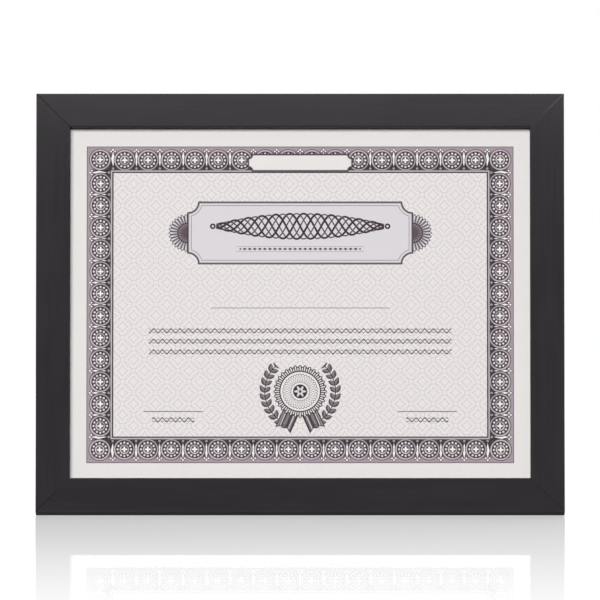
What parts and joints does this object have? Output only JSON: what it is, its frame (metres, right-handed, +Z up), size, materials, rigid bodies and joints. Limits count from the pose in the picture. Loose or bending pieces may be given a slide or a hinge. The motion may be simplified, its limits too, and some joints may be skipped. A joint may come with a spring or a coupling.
{
  "type": "certificate frame",
  "caption": "Landscape certificate frame in flat black painted wood: glazed front over a letter-size sheet, boarded back with turn buttons, folding easel strut and sawtooth hangers.",
  "frame": {"origin": "centre of the part's footprint box, on the surface that the frame stands on", "axes": "+X along the frame's width, to the right as seen from the front; +Y from the front to the back; +Z up"},
  "size_m": [0.314, 0.0788, 0.2497],
  "materials": {
    "painted_wood": "satin black paint",
    "zinc_steel": "zinc plated",
    "clear_glass": "clear float glass",
    "printed_paper": "matte printed card",
    "grey_card": "uncoated grey board",
    "black_hardboard": "hardboard faced with black paper",
    "satin_ribbon": "black satin weave",
    "felt_pad": "dark grey felt"
  },
  "bodies": {
    "frame": {"rail_top": "painted_wood", "rail_bottom": "painted_wood", "rail_left": "painted_wood", "rail_right": "painted_wood", "corner_nails": "zinc_steel", "button_screws": "zinc_steel", "sawtooth_top": "zinc_steel", "sawtooth_side": "zinc_steel", "hanger_nails": "zinc_steel", "hinge_fixed_leaf": "zinc_steel", "hinge_pin": "zinc_steel", "panel_rivets": "zinc_steel", "stay_staple_panel": "zinc_steel", "glass": "clear_glass", "certificate": "printed_paper", "filler_board": "grey_card", "back_panel": "black_hardboard", "stay_ribbon": "satin_ribbon", "wall_bumpers": "felt_pad"},
    "strut": {"strut": "black_hardboard", "hinge_moving_leaf": "zinc_steel", "strut_rivets": "zinc_steel", "stay_staple_strut": "zinc_steel"},
    "button_top_left": {"turn_button_top_left": "zinc_steel"},
    "button_top_right": {"turn_button_top_right": "zinc_steel"},
    "button_bottom_left": {"turn_button_bottom_left": "zinc_steel"},
    "button_bottom_right": {"turn_button_bottom_right": "zinc_steel"},
    "button_left": {"turn_button_left": "zinc_steel"},
    "button_right": {"turn_button_right": "zinc_steel"}
  },
  "joints": [
    {"name": "strut_fold", "type": "hinge", "parent": "frame", "child": "strut", "pos_m": [0, 0.01075, 0.17197], "axis": [-1, 0, 0], "range_deg": [0, 19], "deforming": ["stay_ribbon"]},
    {"name": "turn_top_left", "type": "hinge", "parent": "frame", "child": "button_top_left", "pos_m": [-0.08, 0.01996, 0.23655], "axis": [0, 0.9848, -0.1736], "continuous": true},
    {"name": "turn_top_right", "type": "hinge", "parent": "frame", "child": "button_top_right", "pos_m": [0.08, 0.01996, 0.23655], "axis": [0, 0.9848, -0.1736], "continuous": true},
    {"name": "turn_bottom_left", "type": "hinge", "parent": "frame", "child": "button_bottom_left", "pos_m": [-0.08, -0.01997, 0.01014], "axis": [0, 0.9848, -0.1736], "continuous": true},
    {"name": "turn_bottom_right", "type": "hinge", "parent": "frame", "child": "button_bottom_right", "pos_m": [0.08, -0.01997, 0.01014], "axis": [0, 0.9848, -0.1736], "continuous": true},
    {"name": "turn_left", "type": "hinge", "parent": "frame", "child": "button_left", "pos_m": [-0.1467, -0.00001, 0.12335], "axis": [0, 0.9848, -0.1736], "continuous": true},
    {"name": "turn_right", "type": "hinge", "parent": "frame", "child": "button_right", "pos_m": [0.1467, -0.00001, 0.12335], "axis": [0, 0.9848, -0.1736], "continuous": true}
  ]
}
